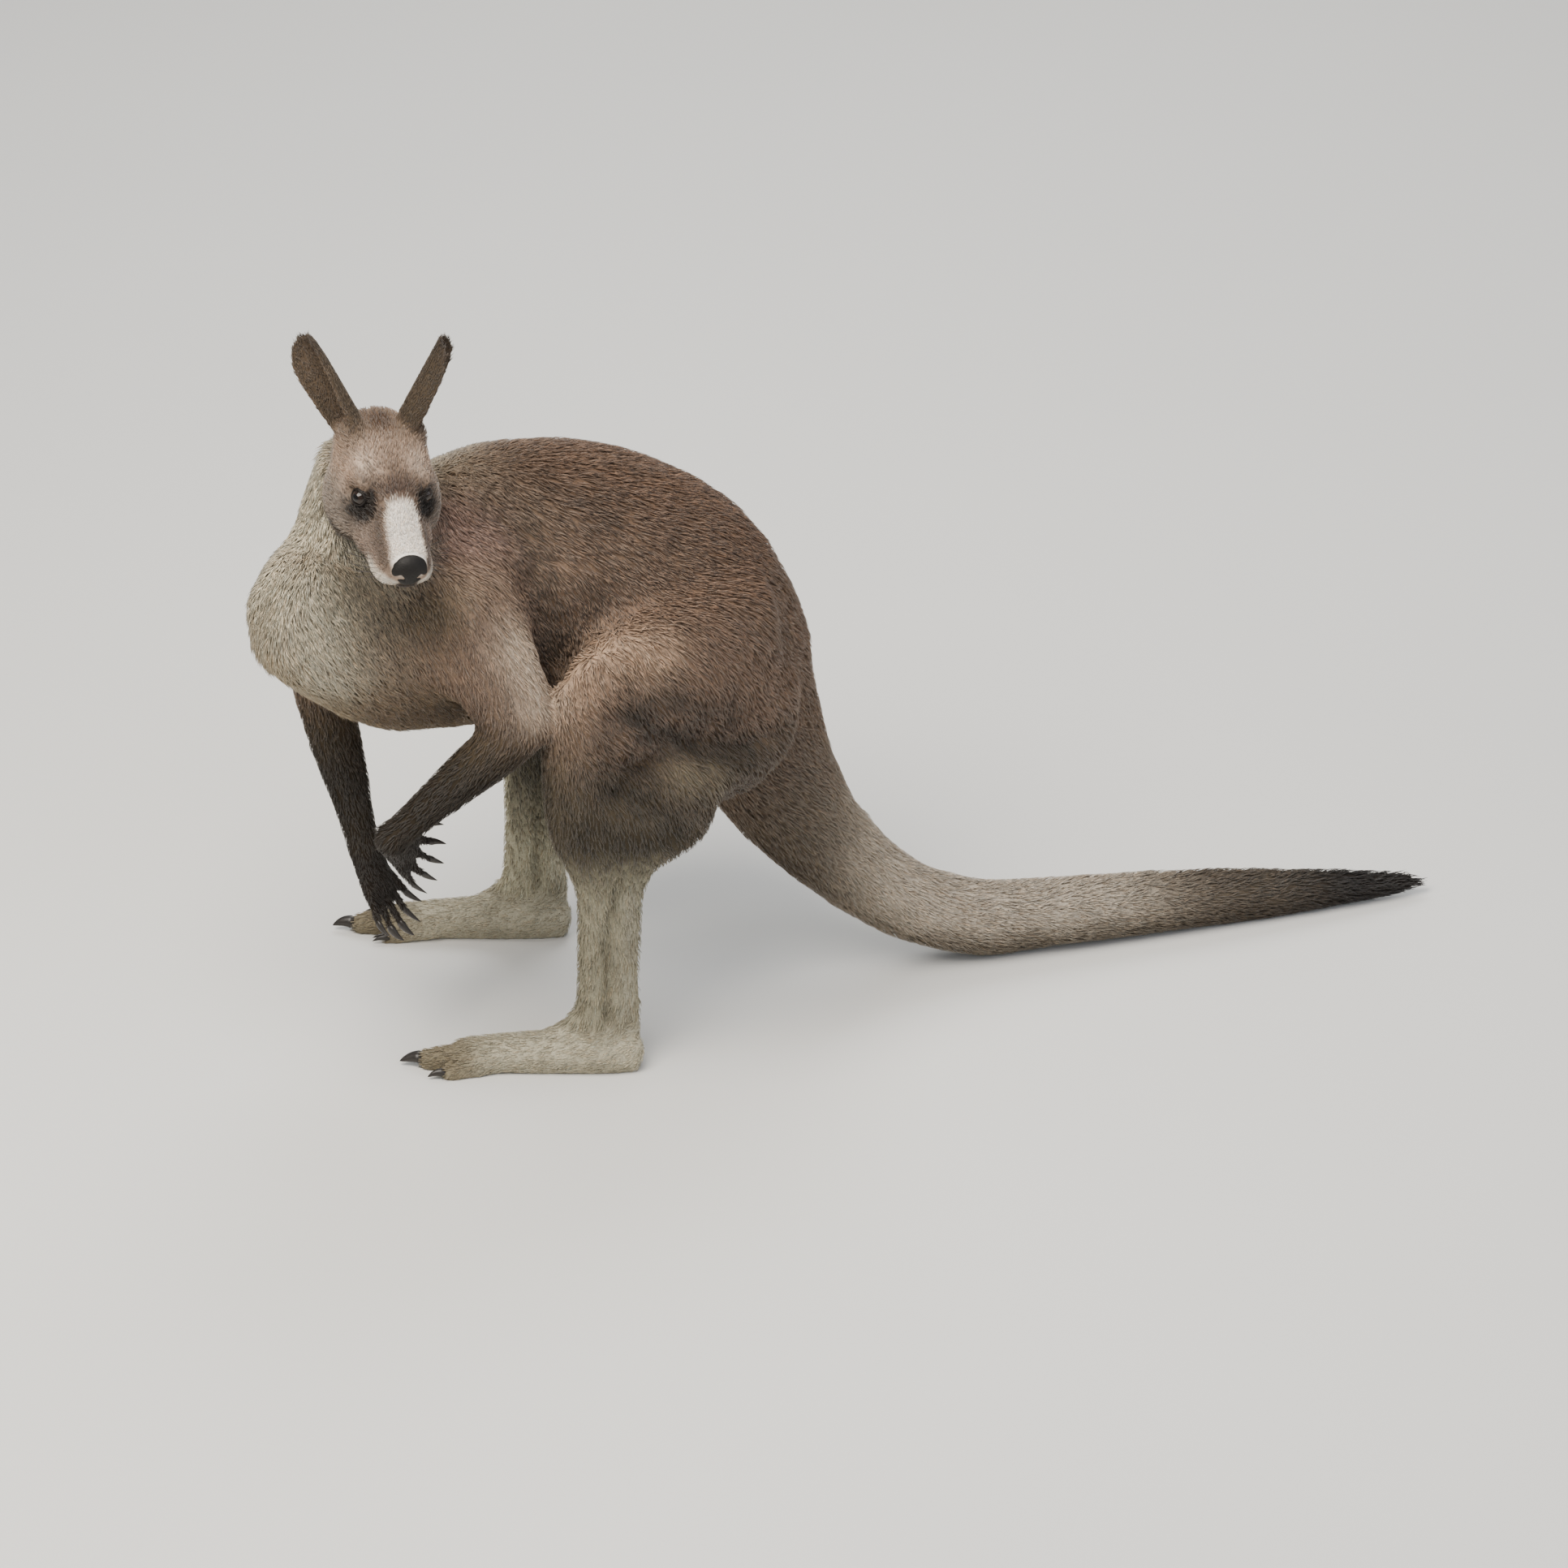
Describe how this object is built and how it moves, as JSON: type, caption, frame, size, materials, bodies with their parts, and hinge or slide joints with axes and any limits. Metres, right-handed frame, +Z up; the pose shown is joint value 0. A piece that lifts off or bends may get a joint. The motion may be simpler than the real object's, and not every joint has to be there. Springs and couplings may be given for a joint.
{
  "type": "grey kangaroo model",
  "caption": "Still life-size model of a large male grey kangaroo standing on its hind feet and tail with its fore paws hanging and its head turned to its left",
  "frame": {"origin": "on the floor, under the middle of the model's bounding box", "axes": "the animal's body faces -X and its tail runs along +X, its left side is -Y, +Z is up"},
  "size_m": [1.7126, 0.6354, 1.1413],
  "materials": {
    "coat_dark": "dense brown-grey fur of the back, flanks and thighs",
    "coat_grey": "grey fur of the head, chest, shoulders and tail",
    "coat_pale": "pale grey-fawn fur of the neck, shins and feet",
    "coat_black": "near-black short fur of the hands and the tail's tip",
    "eye": "wet dark brown eye",
    "horn": "black keratin of the claws, worn to a dull gloss"
  },
  "bodies": {
    "root": {"abdomen": "coat_dark", "tail_base": "coat_grey", "tail_bend": "coat_grey", "tail_middle": "coat_grey", "tail_tip": "coat_black", "neck": "coat_pale", "chest": "coat_grey", "shank_left": "coat_pale", "foot_left": "coat_pale", "thigh_left": "coat_dark", "shank_right": "coat_pale", "foot_right": "coat_pale", "thigh_right": "coat_dark", "head": "coat_grey", "upper_arm_left": "coat_grey", "forearm_left": "coat_dark", "hand_left": "coat_black", "upper_arm_right": "coat_grey", "forearm_right": "coat_dark", "hand_right": "coat_black", "ear_left": "coat_dark", "eye_left": "eye", "claw_first_finger_left": "horn", "claw_second_finger_left": "horn", "claw_third_finger_left": "horn", "claw_fourth_finger_left": "horn", "claw_fifth_finger_left": "horn", "claw_second_toe_left": "horn", "claw_third_toe_left": "horn", "claw_fourth_toe_left": "horn", "claw_fifth_toe_left": "horn", "ear_right": "coat_dark", "eye_right": "eye", "claw_first_finger_right": "horn", "claw_second_finger_right": "horn", "claw_third_finger_right": "horn", "claw_fourth_finger_right": "horn", "claw_fifth_finger_right": "horn", "claw_second_toe_right": "horn", "claw_third_toe_right": "horn", "claw_fourth_toe_right": "horn", "claw_fifth_toe_right": "horn"}
  },
  "joints": []
}
